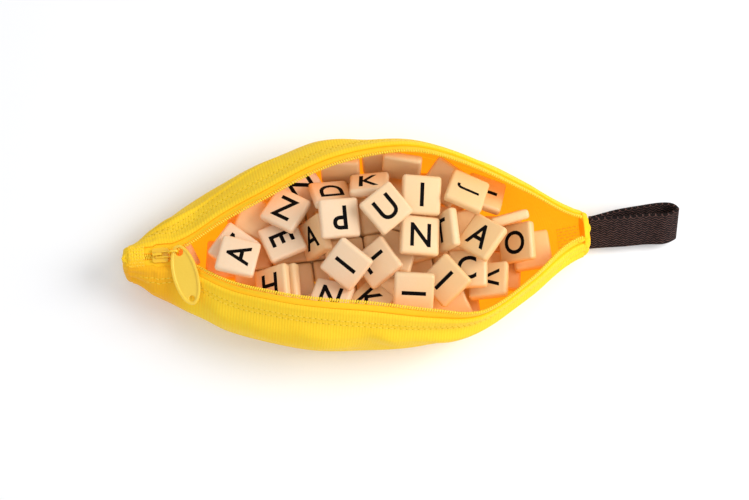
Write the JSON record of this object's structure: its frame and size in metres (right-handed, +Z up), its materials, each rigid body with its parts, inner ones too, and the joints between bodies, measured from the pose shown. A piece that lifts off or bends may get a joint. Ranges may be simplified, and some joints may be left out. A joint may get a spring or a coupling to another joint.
{
  "type": "travel word tile game case",
  "caption": "Soft zip pouch lying open on its flat side, holding square letter tiles, with a zip slider and pull tab at one end and a webbing carry loop at the other.",
  "frame": {"origin": "middle of the flat underside that the pouch lies on", "axes": "+X along the pouch from the slider's end to the strap's end, +Y to the far side, +Z up"},
  "size_m": [0.2793, 0.1042, 0.0535],
  "materials": {
    "cloth": "bright yellow twill, matt",
    "zip_tape": "yellow woven tape",
    "zip_teeth": "yellow nylon coil",
    "slider": "yellow paint, satin",
    "pull_tab": "pale yellow moulded plastic, satin",
    "strap_webbing": "dark brown herringbone webbing",
    "tile": "ivory urea plastic, satin, black letters"
  },
  "bodies": {
    "pouch": {"side_panel_near": "cloth", "side_panel_far": "cloth", "bottom_panel": "cloth", "zip_tape_near": "zip_tape", "zip_tape_far": "zip_tape", "zip_teeth_near": "zip_teeth", "zip_teeth_far": "zip_teeth", "left_end_gather": "cloth", "right_end_gather": "cloth", "zip_end_patch": "cloth", "strap_tack_patch": "cloth", "tiles_buried": "tile", "tile_end_shard": "tile", "tile_fan_z": "tile", "tile_far_bar": "tile", "tile_far_d": "tile", "tile_far_n": "tile", "tile_far_z": "tile", "tile_flat_l": "tile", "tile_leaning_k": "tile", "tile_low_c": "tile", "tile_low_h": "tile", "tile_low_k": "tile", "tile_low_n": "tile", "tile_low_o": "tile", "tile_low_v": "tile", "tile_near_flat": "tile", "tile_near_i": "tile", "tile_rim_a": "tile", "tile_rim_b": "tile", "tile_rim_c": "tile", "tile_rim_d": "tile", "tile_round_o": "tile", "tile_slant_a": "tile", "tile_slant_i": "tile", "tile_steep_a": "tile", "tile_steep_t": "tile", "tile_strip_h": "tile", "tile_tall_n": "tile", "tile_tip_a": "tile", "tile_top_i": "tile", "tile_turned_e": "tile", "tile_upturned_p": "tile"},
    "slider": {"slider": "slider"},
    "link": {"pull_link": "slider"},
    "tab": {"pull_tab": "pull_tab"},
    "strap": {"strap_loop": "strap_webbing"},
    "tile_big_a": {"tile_big_a": "tile"},
    "tile_top_u": {"tile_top_u": "tile"},
    "tile_leaning_i": {"tile_leaning_i": "tile"},
    "tile_far_j": {"tile_far_j": "tile"}
  },
  "joints": [
    {"name": "slider_slide", "type": "slide", "parent": "pouch", "child": "slider", "axis": [1, 0, 0], "range_m": [-0.0035, 0]},
    {"name": "link_flip", "type": "hinge", "parent": "slider", "child": "link", "pos_m": [-0.09945, 0, 0.02965], "axis": [0, -1, 0], "range_deg": [0, 110]},
    {"name": "tab_lift", "type": "hinge", "parent": "link", "child": "tab", "pos_m": [-0.08845, 0, 0.03205], "axis": [-0.9561, -0.1688, -0.2396], "range_deg": [0, 35]},
    {"name": "strap_swing", "type": "hinge", "parent": "pouch", "child": "strap", "pos_m": [0.1183, 0, 0.01355], "axis": [0, 0.515, 0.8572], "range_deg": [-75, 0]},
    {"name": "lift_big_a", "type": "slide", "parent": "pouch", "child": "tile_big_a", "axis": [0, 0, 1], "range_m": [0, 0.07]},
    {"name": "lift_top_u", "type": "slide", "parent": "pouch", "child": "tile_top_u", "axis": [0, 0, 1], "range_m": [0, 0.07]},
    {"name": "lift_leaning_i", "type": "slide", "parent": "pouch", "child": "tile_leaning_i", "axis": [0, 0, 1], "range_m": [0, 0.07]},
    {"name": "lift_far_j", "type": "slide", "parent": "pouch", "child": "tile_far_j", "axis": [0, 0, 1], "range_m": [0, 0.07]}
  ]
}
